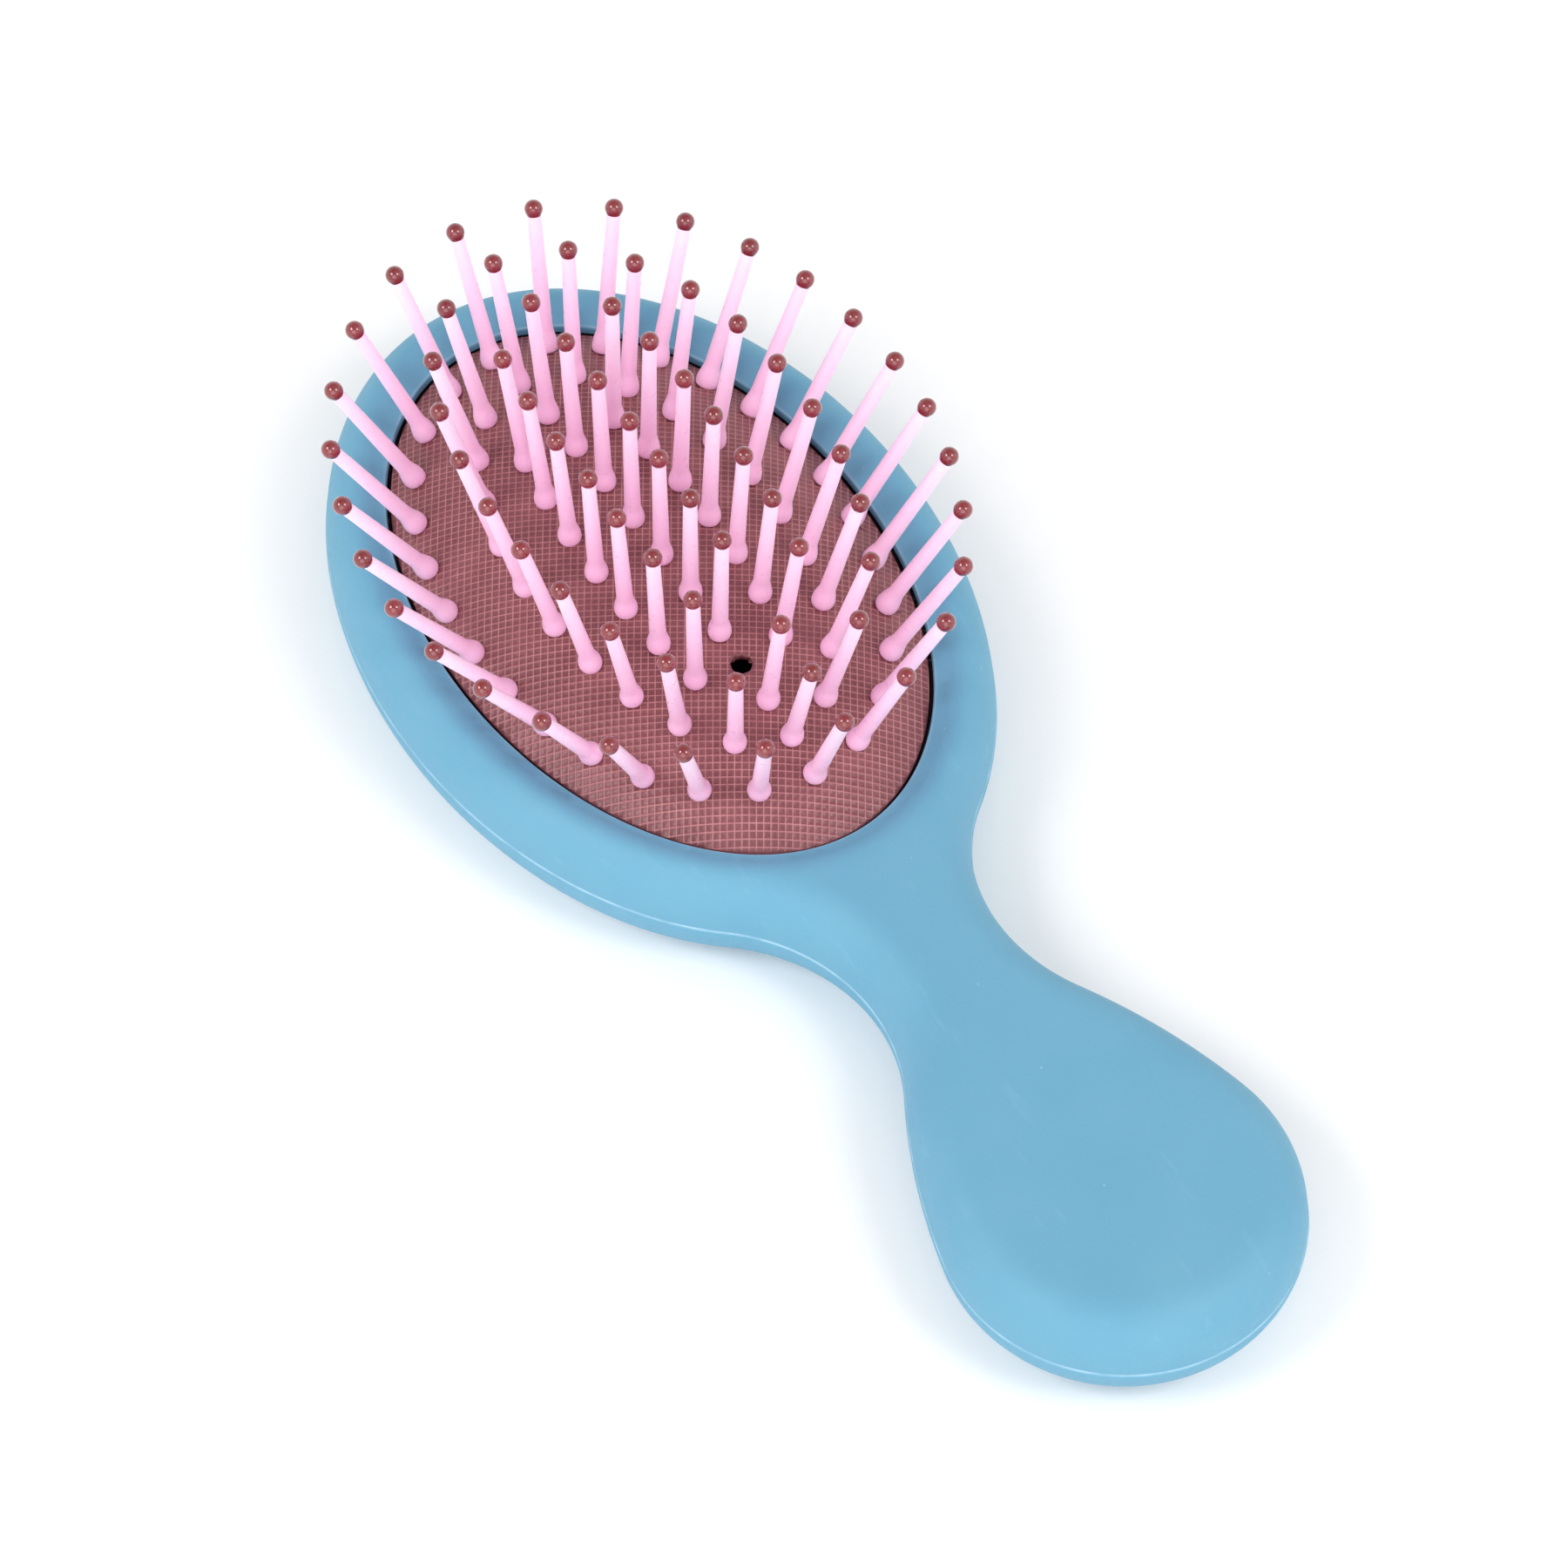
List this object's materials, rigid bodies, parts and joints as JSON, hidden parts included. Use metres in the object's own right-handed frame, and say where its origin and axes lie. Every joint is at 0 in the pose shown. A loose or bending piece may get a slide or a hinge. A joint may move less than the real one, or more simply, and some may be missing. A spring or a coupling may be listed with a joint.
{
  "type": "detangling pin brush",
  "caption": "Small hand-held pet grooming brush with ball-tipped pins standing in a sprung oval air cushion, and a two-shell plastic body with a rounded handle.",
  "frame": {"origin": "centre of the bounding box's lowest face: the brush lies on its back and the pins point up", "axes": "+X to the right seen from the pins with the head up, +Y from the handle's end to the head's top, +Z out of the pins"},
  "size_m": [0.0538, 0.13, 0.0308],
  "materials": {
    "body_blue": "soft-touch matte",
    "inner_plastic": "plain moulded",
    "cushion_rubber": "fine square embossing",
    "pin_pink": "smooth satin nylon",
    "ball_red": "glossy dipped"
  },
  "bodies": {
    "casing": {"front_shell": "body_blue", "back_shell": "body_blue", "clamp_ring": "inner_plastic"},
    "cushion": {"cushion_pad": "cushion_rubber"},
    "centre": {"pins_centre": "pin_pink", "balls_centre": "ball_red"},
    "inner_left": {"pins_inner_left": "pin_pink", "balls_inner_left": "ball_red"},
    "middle_left": {"pins_middle_left": "pin_pink", "balls_middle_left": "ball_red"},
    "outer_left_upper": {"pins_outer_left_upper": "pin_pink", "balls_outer_left_upper": "ball_red"},
    "outer_left_middle": {"pins_outer_left_middle": "pin_pink", "balls_outer_left_middle": "ball_red"},
    "outer_left_lower": {"pins_outer_left_lower": "pin_pink", "balls_outer_left_lower": "ball_red"},
    "inner_right": {"pins_inner_right": "pin_pink", "balls_inner_right": "ball_red"},
    "middle_right": {"pins_middle_right": "pin_pink", "balls_middle_right": "ball_red"},
    "outer_right_upper": {"pins_outer_right_upper": "pin_pink", "balls_outer_right_upper": "ball_red"},
    "outer_right_middle": {"pins_outer_right_middle": "pin_pink", "balls_outer_right_middle": "ball_red"},
    "outer_right_lower": {"pins_outer_right_lower": "pin_pink", "balls_outer_right_lower": "ball_red"},
    "outer_top": {"pins_outer_top": "pin_pink", "balls_outer_top": "ball_red"},
    "outer_bottom": {"pins_outer_bottom": "pin_pink", "balls_outer_bottom": "ball_red"}
  },
  "joints": [
    {"name": "cushion_press", "type": "slide", "parent": "casing", "child": "cushion", "axis": [0, 0, -1], "range_m": [0, 0.002], "stiffness_N_per_m": 3000, "deforming": ["cushion_pad"]},
    {"name": "centre_flex", "type": "hinge", "parent": "cushion", "child": "centre", "pos_m": [0, 0.02777, 0.01478], "axis": [0, 1, 0], "range_deg": [-12, 12], "stiffness_Nm_per_rad": 0.02},
    {"name": "inner_left_flex", "type": "hinge", "parent": "cushion", "child": "inner_left", "pos_m": [-0.00516, 0.0273, 0.01481], "axis": [0, 1, 0], "range_deg": [-12, 12], "stiffness_Nm_per_rad": 0.02},
    {"name": "middle_left_flex", "type": "hinge", "parent": "cushion", "child": "middle_left", "pos_m": [-0.01016, 0.0273, 0.01431], "axis": [0, 1, 0], "range_deg": [-12, 12], "stiffness_Nm_per_rad": 0.02},
    {"name": "outer_left_upper_flex", "type": "hinge", "parent": "cushion", "child": "outer_left_upper", "pos_m": [-0.01501, 0.04296, 0.01165], "axis": [0.4049, 0.9143, 0], "range_deg": [-8, 8], "stiffness_Nm_per_rad": 0.02},
    {"name": "outer_left_middle_flex", "type": "hinge", "parent": "cushion", "child": "outer_left_middle", "pos_m": [-0.01808, 0.02785, 0.01182], "axis": [0, 1, 0], "range_deg": [-8, 8], "stiffness_Nm_per_rad": 0.02},
    {"name": "outer_left_lower_flex", "type": "hinge", "parent": "cushion", "child": "outer_left_lower", "pos_m": [-0.01501, 0.01274, 0.01215], "axis": [-0.4049, 0.9143, 0], "range_deg": [-8, 8], "stiffness_Nm_per_rad": 0.02},
    {"name": "inner_right_flex", "type": "hinge", "parent": "cushion", "child": "inner_right", "pos_m": [0.00516, 0.0273, 0.01481], "axis": [0, 1, 0], "range_deg": [-12, 12], "stiffness_Nm_per_rad": 0.02},
    {"name": "middle_right_flex", "type": "hinge", "parent": "cushion", "child": "middle_right", "pos_m": [0.01016, 0.0273, 0.01431], "axis": [0, 1, 0], "range_deg": [-12, 12], "stiffness_Nm_per_rad": 0.02},
    {"name": "outer_right_upper_flex", "type": "hinge", "parent": "cushion", "child": "outer_right_upper", "pos_m": [0.01501, 0.04296, 0.01165], "axis": [-0.4049, 0.9143, 0], "range_deg": [-8, 8], "stiffness_Nm_per_rad": 0.02},
    {"name": "outer_right_middle_flex", "type": "hinge", "parent": "cushion", "child": "outer_right_middle", "pos_m": [0.01808, 0.02785, 0.01182], "axis": [0, 1, 0], "range_deg": [-8, 8], "stiffness_Nm_per_rad": 0.02},
    {"name": "outer_right_lower_flex", "type": "hinge", "parent": "cushion", "child": "outer_right_lower", "pos_m": [0.01501, 0.01274, 0.01215], "axis": [0.4049, 0.9143, 0], "range_deg": [-8, 8], "stiffness_Nm_per_rad": 0.02},
    {"name": "outer_top_flex", "type": "hinge", "parent": "cushion", "child": "outer_top", "pos_m": [0, 0.0535, 0.01163], "axis": [-1, 0, 0], "range_deg": [-12, 12], "stiffness_Nm_per_rad": 0.02},
    {"name": "outer_bottom_flex", "type": "hinge", "parent": "cushion", "child": "outer_bottom", "pos_m": [0, 0.0022, 0.01245], "axis": [-1, 0, 0], "range_deg": [-12, 12], "stiffness_Nm_per_rad": 0.02}
  ]
}
